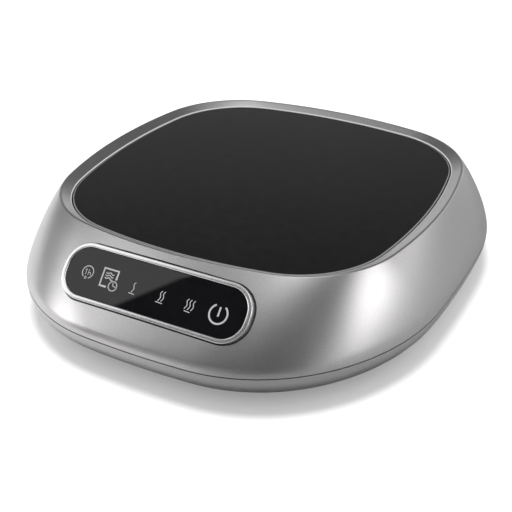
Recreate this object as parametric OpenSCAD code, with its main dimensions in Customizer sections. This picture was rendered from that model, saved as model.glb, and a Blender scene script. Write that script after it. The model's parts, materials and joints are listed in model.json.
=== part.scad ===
// Electric mug warmer: a black glass hot plate in a satin silver housing with a flat touch panel on
// its sloping front wall and a two-pole mains inlet at the back. Millimetres, +Z up, front towards -Y.
// The origin lies on the table under the middle of the plate.

/* [Glass plate] */
// Half width of the rim's inner edge, which surrounds the glass
well_half = 65.5; // [62:0.5:70]
// Radius of the long bowed sides of the rim
well_side_r = 167; // [140:1:220]
// Radius of the rim's four corners
well_corner_r = 34; // [26:1:38]
// Gap between the glass and the rim
glass_gap = 0.4; // [0.2:0.1:0.8]
// Thickness of the glass plate
glass_t = 3.7; // [3:0.1:5]
// Bevel on the glass plate's upper edge
glass_bevel = 0.5; // [0.2:0.1:1]
// Thickness of the silicone seal under the glass
seal_t = 0.8; // [0.5:0.1:1.5]

/* [Housing] */
// Height of the ridge above the table
total_h = 40; // [38:0.5:46]
// Drop from the ridge down to the glass
rim_drop = 2; // [1:0.25:3]
// Width of the sloping band between the glass and the ridge
rim_w = 5; // [3.5:0.25:7]
// How far the foot of the sloping wall stands out from the rim's inner edge
waist_out = 15; // [13:0.5:18]
// Height of the foot of the sloping wall
waist_z = 17.2; // [16.5:0.1:18.5]
// Outward bulge of the sloping wall, where 1 is straight
wall_bulge = 1.1; // [1:0.05:1.4]
// How far the parting line stands out from the rim's inner edge
seam_out = 15.6; // [14:0.2:18]
// Height of the parting line between the two housings
seam_z = 14.6; // [14:0.1:15.4]
// Width of the parting line
seam_gap = 0.3; // [0.2:0.1:0.6]
// Depth of the foot of the wall as a multiple of its width
base_depth = 1.175; // [1.05:0.025:1.25]
// Radius of the bowed sides at the foot of the wall
base_side_r = 338; // [250:2:420]
// Radius of the corners at the foot of the wall
base_corner_r = 48.5; // [42:0.5:56]
// Horizontal thickness of the outer wall
wall_t = 2.6; // [2.2:0.1:3]
// Share of the foot's deeper outline that the glass and the wall around it have
well_share = 0.12; // [0:0.02:0.2]
// Thickness of the upright wall around the glass
well_t = 2; // [1.6:0.1:2.2]
// Width of the ledge that carries the glass
ledge_w = 5.5; // [4.5:0.25:6.5]
// Thickness of the ledge that carries the glass
ledge_t = 2; // [1.6:0.1:2.6]
// Height of the underside above the table
underside_z = 2; // [1.5:0.25:3]
// How far the flat underside stands out from the rim's inner edge
underside_out = 0.3; // [-2:0.1:1.5]
// Thickness of the housing's floor
floor_t = 2.2; // [1.8:0.1:2.6]

/* [Heater] */
// Thickness of the aluminium heat spreader
spreader_t = 1.5; // [1:0.1:2.5]
// Thickness of the flat heater element
heater_t = 0.6; // [0.4:0.1:1]
// Thickness of the glass fibre insulation
insulation_t = 3.5; // [2.5:0.25:4]
// Sheet thickness of the heater pan
pan_t = 0.8; // [0.6:0.1:1]
// Inset of the heater pan from the rim's inner edge
pan_inset = 7; // [6.5:0.25:8]
// Distance of the pan's screws from the middle, side to side
pan_screw_x = 30; // [24:1:33]
// Distance of the pan's screws from the middle, front to back
pan_screw_y = 61; // [60:0.5:62]

/* [Thermal cut-out] */
// Radius of the cut-out's ceramic body
cutout_r = 8.1; // [7.5:0.1:9]
// Radius of the transfer pin
pin_r = 1; // [0.8:0.1:1.3]
// Running clearance around the transfer pin
pin_clear = 0.05; // [0.03:0.01:0.08]
// Travel of the transfer pin
pin_travel = 0.4; // [0.3:0.05:0.5]
// Distance from the pin to the blade's pivot
blade_arm = 5.2; // [4.8:0.1:5.6]
// Distance from the pin to the contact
contact_arm = 4.4; // [4:0.1:4.8]
// Thickness of the contact blade
blade_t = 0.3; // [0.2:0.05:0.4]

/* [Touch panel] */
// Length of the bright bezel
panel_l = 72.3; // [68:0.5:76]
// Height of the bright bezel, along the slope
panel_h = 20.4; // [19:0.2:21]
// Radius of the bezel's corners
panel_r = 9.2; // [7:0.2:9.4]
// Place of the panel's middle, as a share of the way down the wall
panel_down = 0.4; // [0.38:0.01:0.44]
// How much steeper the panel leans than the wall behind it
panel_lean = 2; // [0:0.5:3]
// Width of the bezel's ring
bezel_w = 1.6; // [1.2:0.1:2.2]
// Height of the bezel above the lens
bezel_proud = 0.5; // [0.2:0.1:1]
// Depth of the bezel behind the lens face
bezel_deep = 3; // [2.6:0.1:3.4]
// Dark gap around the bezel
bezel_gap = 0.5; // [0.2:0.05:0.6]
// Thickness of the panel's lens
lens_t = 1.6; // [1.2:0.1:2]
// Thickness of the printed symbols
legend_t = 0.12; // [0.08:0.01:0.2]
// Stroke width of the printed symbols
stroke = 0.42; // [0.3:0.02:0.6]
// Distance from the lens face to the touch board
board_back = 6.5; // [6:0.1:7]
// Thickness of the circuit boards
board_t = 1.6; // [1:0.1:2]

/* [Inlet] */
// Width of the alcove around the mains inlet
alcove_w = 22.4; // [21:0.2:24]
// Height of the alcove around the mains inlet
alcove_h = 9.2; // [8.8:0.1:9.8]
// Height of the middle of the mains inlet
inlet_z = 24.6; // [24.3:0.1:25]
// Distance of the inlet's face from the middle
inlet_y = 80.6; // [79.5:0.1:81.5]
// Radius of the two lobes of the socket
lobe_r = 4.1; // [3.9:0.05:4.3]
// Distance between the middles of the two lobes
lobe_gap = 6.1; // [5.8:0.1:6.4]
// Depth of the socket
socket_deep = 10; // [9:0.5:11]
// Radius of the inlet's pins
inlet_pin_r = 1.2; // [1.1:0.05:1.3]
// Distance between the inlet's pins
inlet_pitch = 8.6; // [8.4:0.1:8.8]

/* [Power board] */
// Half width of the power board
power_half_w = 48; // [46:1:50]
// Front edge of the power board
power_front = -30; // [-32:1:-28]
// Back edge of the power board
power_back = 45; // [44:1:47]
// Height of the posts under the power board
post_h = 4.8; // [4:0.2:6]

/* [Feet and screws] */
// Radius of the rubber feet
foot_r = 8; // [6:0.5:9]
// Distance of the feet from the middle, side to side
foot_x = 44; // [40:1:46]
// Distance of the feet from the middle, front to back
foot_y = 52; // [48:1:54]
// Depth of the recess that holds a foot
foot_sink = 1; // [0.6:0.1:1.2]
// Distance of the base screws from the middle, side to side
base_screw_x = 61; // [60.5:0.25:61.5]
// Distance of the base screws from the middle, front to back
base_screw_y = 30; // [26:1:32]
// Radius of the screws' threads
screw_r = 1.5; // [1.4:0.05:1.6]
// Clearance of a screw in its hole
screw_clear = 0.05; // [0.03:0.01:0.1]

/* [Hidden] */
$fn = 48;

// Heights of the stack under the glass, from the top down
glass_z = total_h - rim_drop;
glass_under = glass_z - glass_t;
ledge_z = glass_under - seal_t;
ledge_under = ledge_z - ledge_t;
heater_top = glass_under - spreader_t;
heater_under = heater_top - heater_t;
pan_top = heater_under - insulation_t;
pan_under = pan_top - pan_t;
inside_z = underside_z + floor_t;
power_z = inside_z + post_h;
power_top = power_z + board_t;

// Slope of the front wall, and the plane of the touch panel
function down_share(t) = 1 - pow(1 - t, wall_bulge);
function depth_at(s) = 1 + (base_depth - 1) * s;
function wall_out(t) = rim_w + (waist_out - rim_w) * down_share(t);
function wall_z(t) = total_h - (total_h - waist_z) * t;
function front_y(out, s) = (well_half + out) * depth_at(s);
panel_y = front_y(rim_w, 0) + (front_y(waist_out, 1) - front_y(rim_w, 0)) * panel_down;
panel_z = total_h - (total_h - waist_z) * panel_down;
wall_angle = atan2(total_h - waist_z, front_y(waist_out, 1) - front_y(rim_w, 0));
panel_tilt = wall_angle + panel_lean;

module on_panel() {
    translate([0, -panel_y, panel_z]) rotate([panel_tilt, 0, 0]) children();
}

// The six touch places along the panel, and the height of their row
touch_x = [-26.3, -17.6, -7.6, 3.4, 14.3, 25.1];
touch_y = -1.1;

// One quarter of an outline with bowed sides and round corners. Out is how far it stands out from the
// rim's inner edge, and s runs from 0 at the rim to 1 at the foot of the wall.
side_steps = 4;
corner_steps = 10;
ring_n = 4 * (2 * side_steps + corner_steps);
function quarter(a, side_r, corner_r) =
    let (u = side_r - a,
         q = side_r - corner_r,
         c = (-u + sqrt(2 * q * q - u * u)) / 2,
         t = atan2(c, c + u))
    concat(
        [for (i = [0:side_steps - 1]) let (g = t * i / side_steps)
            [-u + side_r * cos(g), side_r * sin(g)]],
        [for (i = [0:corner_steps - 1]) let (g = t + (90 - 2 * t) * i / corner_steps)
            [c + corner_r * cos(g), c + corner_r * sin(g)]],
        [for (i = [0:side_steps - 1]) let (g = 90 - t + t * i / side_steps)
            [side_r * cos(g), -u + side_r * sin(g)]]);
function outline(out, s) =
    let (q = quarter(well_half + out,
                     well_side_r + (base_side_r - well_side_r) * s + out,
                     well_corner_r + (base_corner_r - well_corner_r) * s + out))
    [for (k = [0:3], p = q)
        [p[0] * cos(90 * k) - p[1] * sin(90 * k),
         (p[0] * sin(90 * k) + p[1] * cos(90 * k)) * depth_at(s)]];
function ring(level) = [for (p = outline(level[0], level[1])) [p[0], p[1], level[2]]];

// Skins a list of levels [out, s, z]. A closed loop of levels makes a frame, an open one is capped.
// With other_way the four-sided patches are split along their other diagonal.
module skin(levels, closed = false, other_way = false) {
    n = ring_n;
    m = len(levels);
    last = closed ? m - 1 : m - 2;
    sides = [for (i = [0:last], k = [0:n - 1])
        let (a = i * n + k, b = (i + 1) % m * n + k,
             c = (i + 1) % m * n + (k + 1) % n, d = i * n + (k + 1) % n)
        each other_way ? [[a, b, d], [b, c, d]] : [[a, b, c], [a, c, d]]];
    caps = closed ? [] : [
        [for (k = [0:n - 1]) k],
        [for (k = [n - 1:-1:0]) (m - 1) * n + k]];
    polyhedron([for (level = levels) each ring(level)], concat(sides, caps), convexity = 8);
}

// A flat plate with the outline of the glass, drawn in from the rim's inner edge
module plate(inset, z, t) {
    translate([0, 0, z]) linear_extrude(t) polygon(outline(-inset, well_share));
}

// A rectangle with round corners, centred
module round_rect(l, h, r) {
    square([l - 2 * r, h], center = true);
    square([l, h - 2 * r], center = true);
    for (x = [-1, 1], y = [-1, 1]) translate([x * (l / 2 - r), y * (h / 2 - r)]) circle(r);
}
module panel_block(grow, top, bottom) {
    translate([0, 0, bottom]) linear_extrude(top - bottom)
        round_rect(panel_l + 2 * grow, panel_h + 2 * grow, panel_r + grow);
}

// Copies at the four places (x, y) and its mirror images
module at_corners(x, y) {
    for (i = [-1, 1], j = [-1, 1]) translate([i * x, j * y, 0]) children();
}

// A screw with its shank upwards from the origin and its pan head below
module screw(length, head_r = 2.8, head_h = 2.2, r = screw_r) {
    cylinder(h = length, r = r);
    translate([0, 0, -head_h]) cylinder(h = head_h, r = head_r);
}

// A round tube along a route, with a ring of sides at each point
function unit(v) = v / norm(v);
function direction(p, i) = unit(p[min(i + 1, len(p) - 1)] - p[max(i - 1, 0)]);
function smooth(p, steps) = [for (i = [0:len(p) - 2], k = [0:steps - 1])
        let (a = p[max(i - 1, 0)], b = p[i], c = p[i + 1], d = p[min(i + 2, len(p) - 1)], t = k / steps)
        0.5 * (2 * b + (c - a) * t + (2 * a - 5 * b + 4 * c - d) * t * t
               + (3 * b - a - 3 * c + d) * t * t * t),
    p[len(p) - 1]];
function eased(p, steps) = concat(
    [p[0]], smooth([for (i = [1:len(p) - 2]) p[i]], steps), [p[len(p) - 1]]);
module tube(route, r, sides = 8) {
    n = len(route);
    points = [for (i = [0:n - 1])
        let (d = direction(route, i), u = unit(cross(d, [0.31, 0.17, 0.93])), v = cross(d, u))
        each [for (k = [0:sides - 1])
            route[i] + r * (u * cos(360 * k / sides) + v * sin(360 * k / sides))]];
    faces = [for (i = [0:n - 2], k = [0:sides - 1])
        let (a = i * sides + k, b = a + sides, c = (i + 1) * sides + (k + 1) % sides,
             d = i * sides + (k + 1) % sides)
        each [[a, b, c], [a, c, d]]];
    polyhedron(points, concat(faces, [
        [for (k = [0:sides - 1]) k],
        [for (k = [sides - 1:-1:0]) (n - 1) * sides + k]]), convexity = 8);
}

/* ---- housing ---- */

// The levels of the wall's inner side, from under the ridge down to its foot
wall_steps = 7;
under_ridge = 0.14;
inner_wall = [for (i = [0:wall_steps - 1])
    let (t = under_ridge + (1 - under_ridge) * i / (wall_steps - 1))
    [wall_out(t) - wall_t, down_share(t), wall_z(t)]];
module upper_housing() {
    bottom = seam_z + seam_gap / 2;
    outer = [for (i = [wall_steps:-1:0]) let (t = i / wall_steps) [wall_out(t), down_share(t), wall_z(t)]];
    levels = concat(
        [[seam_out, 1, bottom], [waist_out + 0.2, 1, waist_z - 0.6]],
        outer,
        [[rim_w - 0.7, 0, total_h], [0, well_share, glass_z], [0, well_share, ledge_z],
         [-ledge_w, well_share, ledge_z], [-ledge_w, well_share, ledge_under],
         [well_t, well_share, ledge_under], [well_t, well_share, glass_z - 2]],
        inner_wall,
        [[seam_out - wall_t, 1, bottom]]);
    color([0.62, 0.61, 0.6]) difference() {
        union() {
            skin(levels, closed = true);
            at_corners(base_screw_x, base_screw_y) translate([0, 0, boss_z])
                cylinder(h = ledge_under + 1 - boss_z, r = boss_r);
            at_corners(pan_screw_x, pan_screw_y) translate([0, 0, pan_top])
                cylinder(h = ledge_under + 1 - pan_top, r = pan_boss_r);
            for (x = [-1, 1]) translate([x * inlet_ear_x, inlet_ear_y, inlet_ear_z])
                cylinder(h = ledge_under + 1 - inlet_ear_z, r = pan_boss_r);
        }
        at_corners(base_screw_x, base_screw_y) translate([0, 0, boss_z - 1])
            cylinder(h = base_screw_l - boss_z + seat_z + 2, r = screw_r + screw_clear);
        at_corners(pan_screw_x, pan_screw_y) translate([0, 0, pan_top - 1])
            cylinder(h = ledge_z - 0.5 - pan_top + 1, r = screw_r + screw_clear);
        for (x = [-1, 1]) translate([x * inlet_ear_x, inlet_ear_y, inlet_ear_z - 1])
            cylinder(h = ledge_z - 0.5 - inlet_ear_z + 1, r = screw_r + screw_clear);
        on_panel() panel_block(bezel_gap, 8, -6);
        translate([-inlet_w / 2 - inlet_fit, front_y(rim_w, 0) - 2, inlet_z - inlet_h / 2 - inlet_fit])
            cube([inlet_w + 2 * inlet_fit, 40, inlet_h + 2 * inlet_fit]);
    }
}
boss_r = 3.6;
boss_z = 13;
pan_boss_r = 3.2;

// The lower housing's side is a quarter of an ellipse between the parting line and the underside
curve_steps = 7;
function bowl(out_top, z_top, out_low, z_low, from = 0) = [for (i = [0:curve_steps])
    let (g = 90 - (90 - from) * i / curve_steps)
    [out_low + (out_top - out_low) * cos(g), 1, z_top - (z_top - z_low) * sin(g)]];
tongue_out = waist_out - wall_t - 0.2;
tongue_t = 1.2;
tongue_h = 1.5;
seat_z = underside_z + 5;
module lower_housing() {
    top = seam_z - seam_gap / 2;
    inside = bowl(tongue_out - tongue_t, top - 1, underside_out, inside_z);
    levels = concat(
        bowl(seam_out, top, underside_out, underside_z),
        [[tongue_out, 1, top], [tongue_out, 1, seam_z + tongue_h],
         [tongue_out - tongue_t, 1, seam_z + tongue_h]],
        [for (i = [curve_steps:-1:0]) inside[i]]);
    color([0.56, 0.55, 0.55]) difference() {
        union() {
            skin(levels);
            at_corners(base_screw_x, base_screw_y) translate([0, 0, inside_z - 0.5])
                cylinder(h = boss_z - inside_z + 0.5, r = boss_r + 0.6);
            for (x = power_screw_x, y = power_screw_y) translate([x, y, inside_z - 0.5])
                cylinder(h = post_h + 0.5, r = 3);
        }
        at_corners(base_screw_x, base_screw_y) {
            translate([0, 0, underside_z - 1]) cylinder(h = seat_z - underside_z + 1, r = 3.2);
            translate([0, 0, seat_z - 1]) cylinder(h = boss_z - seat_z + 2, r = screw_r + 0.2);
        }
        for (x = power_screw_x, y = power_screw_y) translate([x, y, inside_z + 0.6])
            cylinder(h = post_h + 1, r = small_screw_r + screw_clear);
        at_corners(foot_x, foot_y) translate([0, 0, underside_z - 1])
            cylinder(h = foot_sink + 1, r = foot_r + 0.1);
        for (i = [-vent_n:vent_n]) translate([i * vent_pitch - vent_w / 2, vent_y, underside_z - 1])
            cube([vent_w, vent_l, floor_t + 2]);
        translate([-label_l / 2 - 0.1, label_y - 0.1, underside_z - 1])
            cube([label_l + 0.2, label_w + 0.2, 1 + label_t]);
    }
}
vent_n = 4;
vent_pitch = 7;
vent_w = 2.2;
vent_l = 24;
vent_y = -18;
label_l = 52;
label_w = 26;
label_t = 0.5;
label_y = 18;

module rubber_feet() {
    color([0.12, 0.12, 0.12]) at_corners(foot_x, foot_y) rotate_extrude()
        polygon([[0, 0], [foot_r - 1, 0], [foot_r, 0.8], [foot_r, underside_z + foot_sink],
                 [0, underside_z + foot_sink]]);
}

base_screw_l = 18;
module base_screws() {
    color([0.7, 0.7, 0.72]) at_corners(base_screw_x, base_screw_y)
        translate([0, 0, seat_z]) screw(base_screw_l);
}

module rating_plate() {
    color([0.75, 0.75, 0.76]) translate([-label_l / 2, label_y, underside_z])
        cube([label_l, label_w, label_t]);
}

/* ---- glass and heater ---- */

module glass_plate() {
    color([0.05, 0.05, 0.055]) skin([
        [-glass_gap, well_share, glass_under], [-glass_gap, well_share, glass_z - glass_bevel],
        [-glass_gap - glass_bevel, well_share, glass_z]]);
}

module glass_seal() {
    color([0.25, 0.25, 0.27]) difference() {
        plate(glass_gap + 0.4, ledge_z, seal_t);
        plate(ledge_w - 0.5, ledge_z - 1, seal_t + 2);
    }
}

module heat_spreader() {
    color([0.78, 0.79, 0.8]) plate(ledge_w + 1, heater_top, spreader_t);
}

terminal_x = 6;
terminal_y = -40;
terminal_l = 6;
module heater_element() {
    color([0.72, 0.6, 0.38]) difference() {
        union() {
            plate(pan_inset + 1.2, heater_under, heater_t);
            for (x = [-1, 1]) translate([x * terminal_x, terminal_y, heater_under - terminal_l])
                cylinder(h = terminal_l + heater_t / 2, r = 1.2);
        }
        translate([sensor_x, sensor_y, heater_under - 1]) cylinder(h = heater_t + 2, r = sensor_r + 0.4);
    }
}

// The holes that pass through both the insulation and the pan
module through_holes(z, h, around) {
    translate([0, 0, z]) cylinder(h = h, r = cap_r + around);
    translate([sensor_x, sensor_y, z]) cylinder(h = h, r = sensor_r + around);
    for (x = [-1, 1]) translate([x * terminal_x, terminal_y, z]) cylinder(h = h, r = 2.6);
    for (x = [-1, 1]) translate([x * bracket_screw_x, 0, z]) cylinder(h = h, r = small_screw_r + screw_clear);
    translate([sensor_x + clip_l, sensor_y, z]) cylinder(h = h, r = small_screw_r + screw_clear);
}

module insulation_pad() {
    color([0.9, 0.89, 0.84]) difference() {
        plate(pan_inset + 1.2, pan_top, insulation_t);
        through_holes(pan_top - 1, insulation_t + 2, 0.4);
    }
}

pan_lip = 0.4;
module heater_pan() {
    color([0.68, 0.69, 0.7]) difference() {
        union() {
            difference() {
                plate(pan_inset, pan_under, ledge_under - pan_lip - pan_under);
                plate(pan_inset + pan_t, pan_top, insulation_t + 4);
            }
            at_corners(pan_screw_x, pan_screw_y) translate([0, 0, pan_under])
                cylinder(h = pan_t, r = 4);
            for (i = [-1, 1], j = [-1, 1])
                translate([i * pan_screw_x - 4, j > 0 ? ear_root : -pan_screw_y, pan_under])
                    cube([8, pan_screw_y - ear_root, pan_t]);
        }
        at_corners(pan_screw_x, pan_screw_y) translate([0, 0, pan_under - 1])
            cylinder(h = pan_t + 2, r = screw_r + 0.2);
        through_holes(pan_under - 1, pan_t + 2, 0.2);
    }
}
ear_root = 50;

module heater_pan_screws() {
    color([0.75, 0.75, 0.77]) at_corners(pan_screw_x, pan_screw_y)
        translate([0, 0, pan_under]) screw(ledge_z - 1 - pan_under, 2.8, 1.8);
}

/* ---- temperature sensor and thermal fuse ---- */

small_screw_r = 1.2;
sensor_r = 2;
sensor_x = 24;
sensor_y = 0;
sensor_l = 9;
clip_l = 7;
module temperature_sensor() {
    color([0.8, 0.78, 0.74]) translate([sensor_x, sensor_y, heater_top - sensor_l]) {
        cylinder(h = sensor_l, r = sensor_r);
        translate([0, 0, pan_under - pan_t - heater_top + sensor_l]) cylinder(h = pan_t, r = sensor_r + 1.5);
    }
}

module sensor_clip() {
    top = pan_under - pan_t;
    color([0.74, 0.75, 0.76]) difference() {
        union() {
            translate([sensor_x - 4, sensor_y - 3, top - pan_t]) cube([clip_l + 7, 6, pan_t]);
            translate([sensor_x + clip_l - 3, sensor_y - 3, top - pan_t / 2])
                cube([6, 6, 1.5 * pan_t]);
        }
        translate([sensor_x, sensor_y, top - 3]) cylinder(h = 6, r = sensor_r + 0.2);
        translate([sensor_x + clip_l, sensor_y, top - 3])
            cylinder(h = 8, r = small_screw_r + screw_clear);
    }
}

fuse_y = -24;
fuse_r = 2;
fuse_l = 11;
fuse_z = pan_under - fuse_r - 0.1;
lead_r = 0.4;
lead_l = 4;
module thermal_fuse() {
    color([0.85, 0.83, 0.78]) translate([0, fuse_y, fuse_z]) rotate([0, 90, 0]) {
        translate([0, 0, -fuse_l / 2]) cylinder(h = fuse_l, r = fuse_r);
        translate([0, 0, -fuse_l / 2 - lead_l]) cylinder(h = fuse_l + 2 * lead_l, r = lead_r);
    }
}

module fuse_clip() {
    strap_t = 0.5;
    foot = 4;
    color([0.72, 0.73, 0.74]) translate([-2.5, fuse_y, fuse_z]) rotate([90, 0, 90]) linear_extrude(5)
        difference() {
            union() {
                circle(fuse_r + 0.1 + strap_t);
                translate([-fuse_r - 0.1 - strap_t, 0])
                    square([2 * (fuse_r + 0.1 + strap_t), fuse_r + 0.1]);
                translate([-fuse_r - foot, fuse_r + 0.1 - strap_t]) square([2 * (fuse_r + foot), strap_t]);
            }
            circle(fuse_r + 0.1);
            translate([-fuse_r - 0.1, 0]) square([2 * fuse_r + 0.2, fuse_r + 1]);
            translate([-10, fuse_r + 0.1]) square([20, 5]);
        }
}

/* ---- thermal cut-out, whose disc pushes a pin that opens a contact ---- */

cap_r = cutout_r + 0.5;
cap_t = 0.4;
disc_t = 0.25;
disc_rise = 0.6;
body_top = heater_under - 1.8;
cavity_top = body_top - 4.9;
body_under = cavity_top - 3.1;
blade_top = cavity_top - 1;
pin_top = body_top + disc_rise - 0.08;
bracket_screw_x = 15;
button_h = 0.5;
contact_gap = 0.05;

module cutout_cap() {
    color([0.8, 0.81, 0.82]) rotate_extrude() polygon([
        [0, heater_under], [cap_r, heater_under], [cap_r, pan_under], [cap_r - cap_t, pan_under],
        [cap_r - cap_t, heater_under - cap_t], [0, heater_under - cap_t]]);
}

module cutout_disc() {
    edge = cutout_r - 0.4;
    low = body_top;
    color([0.72, 0.66, 0.5]) rotate_extrude() polygon([
        [0, low + disc_rise + 0.1], [edge, low], [edge, low + disc_t], [0, low + disc_rise + 0.1 + disc_t]]);
}

module cutout_body() {
    slot_w = 2 * blade_half + 1.2;
    color([0.9, 0.88, 0.83]) difference() {
        translate([0, 0, body_under]) cylinder(h = body_top - body_under, r = cutout_r);
        translate([0, 0, cavity_top - 1]) cylinder(h = 8, r = pin_r + pin_clear);
        translate([-6.2, -slot_w / 2 - 0.4, body_under - 1])
            cube([12.4, slot_w + 0.8, cavity_top - body_under + 1]);
        translate([-cutout_r - 1, -slot_w / 2, terminal_z - 0.1])
            cube([cutout_r, slot_w, terminal_t + 0.2]);
        translate([1, -slot_w / 2, blade_top + button_h])
            cube([cutout_r, slot_w, cavity_top - blade_top - button_h]);
    }
}
blade_half = 1.8;
knuckle_r = 0.35;
terminal_t = 0.45;
terminal_z = blade_top - blade_t - 0.3 - terminal_t;

module cutout_cover() {
    color([0.85, 0.83, 0.79]) translate([0, 0, body_under - 0.8]) cylinder(h = 0.8, r = cutout_r);
}

module cutout_pin() {
    color([0.95, 0.94, 0.9]) translate([0, 0, blade_top + 0.05])
        cylinder(h = pin_top - blade_top - 0.05, r = pin_r);
}

module cutout_blade() {
    color([0.8, 0.6, 0.32]) {
        translate([-blade_arm - 0.5, -blade_half, blade_top - blade_t])
            cube([blade_arm + 0.5 + contact_arm + 1.1, 2 * blade_half, blade_t]);
        translate([-blade_arm, blade_half, blade_top - blade_t / 2]) rotate([90, 0, 0])
            cylinder(h = 2 * blade_half, r = knuckle_r);
        translate([contact_arm, 0, blade_top - blade_t / 2]) cylinder(h = blade_t / 2 + button_h, r = 1.1);
    }
}

tab_x = 9.6;
tab_l = 7;
module cutout_terminals() {
    low = terminal_z;
    high = blade_top + button_h + contact_gap;
    color([0.78, 0.72, 0.5]) {
        translate([-tab_x - terminal_t, -blade_half, low])
            cube([tab_x + terminal_t - blade_arm + 0.7, 2 * blade_half, terminal_t]);
        translate([-tab_x - terminal_t, -blade_half, low - tab_l]) cube([terminal_t, 2 * blade_half, tab_l]);
        translate([contact_arm - 1.6, -blade_half, high])
            cube([tab_x + terminal_t - contact_arm + 1.6, 2 * blade_half, terminal_t - contact_gap]);
        translate([tab_x, -blade_half, low - tab_l]) cube([terminal_t, 2 * blade_half, high - low + tab_l]);
    }
}

module cutout_bracket() {
    color([0.7, 0.71, 0.72]) translate([0, 0, pan_under - pan_t]) difference() {
        union() {
            cylinder(h = pan_t, r = cap_r + 3);
            translate([-bracket_screw_x, -3.5, 0]) cube([2 * bracket_screw_x, 7, pan_t]);
            for (x = [-1, 1]) translate([x * bracket_screw_x, 0, 0]) cylinder(h = pan_t, r = 3.5);
        }
        translate([0, 0, -1]) cylinder(h = pan_t + 2, r = cutout_r + 0.1);
        for (x = [-1, 1]) translate([x * bracket_screw_x, 0, -1])
            cylinder(h = pan_t + 2, r = small_screw_r + screw_clear);
    }
}

module cutout_screws() {
    color([0.75, 0.75, 0.77]) {
        for (x = [-1, 1]) translate([x * bracket_screw_x, 0, pan_under - pan_t])
            screw(pan_t + 2.5, 2.2, 1.3, small_screw_r);
        translate([sensor_x + clip_l, sensor_y, pan_under - 2 * pan_t])
            screw(2 * pan_t + 2, 2.2, 1.3, small_screw_r);
    }
}

/* ---- touch panel ---- */

module control_bezel() {
    color([0.86, 0.86, 0.87]) on_panel() difference() {
        panel_block(0, bezel_proud, -bezel_deep);
        panel_block(-bezel_w, bezel_proud + 1, -bezel_deep - 1);
    }
}

lens_fit = 0.05;
module control_lens() {
    color([0.07, 0.07, 0.075]) on_panel() panel_block(-bezel_w - lens_fit, 0, -lens_t);
}

// An arc of a ring, drawn from one angle to another
module arc(r, from, to, w = stroke) {
    n = 24;
    polygon(concat(
        [for (i = [0:n]) let (g = from + (to - from) * i / n) (r + w / 2) * [cos(g), sin(g)]],
        [for (i = [n:-1:0]) let (g = from + (to - from) * i / n) (r - w / 2) * [cos(g), sin(g)]]));
}
// A line of even width along a route of points
module pen(route, w = stroke) {
    n = len(route);
    sides = [for (i = [0:n - 1])
        let (d = route[min(i + 1, n - 1)] - route[max(i - 1, 0)]) w / 2 / norm(d) * [-d[1], d[0]]];
    polygon(concat([for (i = [0:n - 1]) route[i] + sides[i]], [for (i = [n - 1:-1:0]) route[i] - sides[i]]));
}
// A wisp of steam, drawn upwards from the origin and leaning right
wisp_h = 3.6;
module wisp() {
    pen([for (i = [0:14]) let (t = i / 14) [0.73 * t + 0.34 * sin(360 * pow(t, 1.2)), wisp_h * t]]);
}
// A wave, drawn rightwards from the origin and falling by a little
module wave(l, drop) {
    pen([for (i = [0:14]) let (t = i / 14) [l * t, -drop * t - 0.28 * sin(540 * t)]], 0.38);
}

// One hour: the numeral 1 and a small h in a ring that is open below, with a circle in the gap
module hour_symbol() {
    arc(2.15, -69, 234);
    translate([-0.3, -2]) arc(0.4, 0, 360, 0.25);
    pen([[-0.7, 1.05], [-0.7, -0.95]], 0.3);
    pen([[-1.2, 0.55], [-0.65, 1]], 0.26);
    pen([[0.25, 1.05], [0.25, -0.95]], 0.28);
    translate([0.75, -0.4]) arc(0.5, 0, 180, 0.26);
    pen([[1.25, -0.38], [1.25, -0.95]], 0.26);
}
// A preset: three waves in a square frame, with a small clock over its lower right corner
module preset_symbol() {
    clock = [2.35, -2.25];
    difference() {
        square([5.8, 6.2], center = true);
        square([4.6, 5], center = true);
        translate(clock) circle(2.05);
    }
    for (i = [0:2]) translate([-1.73, 1.8 - 0.84 * i]) wave(3.3, 0.25 + 0.08 * i);
    translate(clock) {
        arc(1.6, 0, 360, 0.36);
        pen([[-0.15, 1.1], [-0.02, 0.05], [1.15, -0.15]], 0.3);
    }
}
// A heat level: one to three wisps of steam over a base line
module level_symbol(count) {
    for (i = [0:count - 1]) translate([(i - (count - 1) / 2) * 1.2 - 0.2, -1.7]) wisp();
    translate([-0.05, -2]) square([2.6, stroke], center = true);
}
// Power: an open ring with an upright bar
module power_symbol() {
    arc(3.2, 120, 416, 0.62);
    pen([[0.05, 2.4], [0.05, -0.8]], 0.62);
}

module control_symbols() {
    color([0.8, 0.8, 0.82]) on_panel() linear_extrude(legend_t) {
        translate([touch_x[0], -0.1]) hour_symbol();
        translate([touch_x[1], -0.1]) preset_symbol();
        for (i = [1:3]) translate([touch_x[i + 1], touch_y]) level_symbol(i);
        translate([touch_x[5], touch_y]) power_symbol();
    }
}

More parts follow.
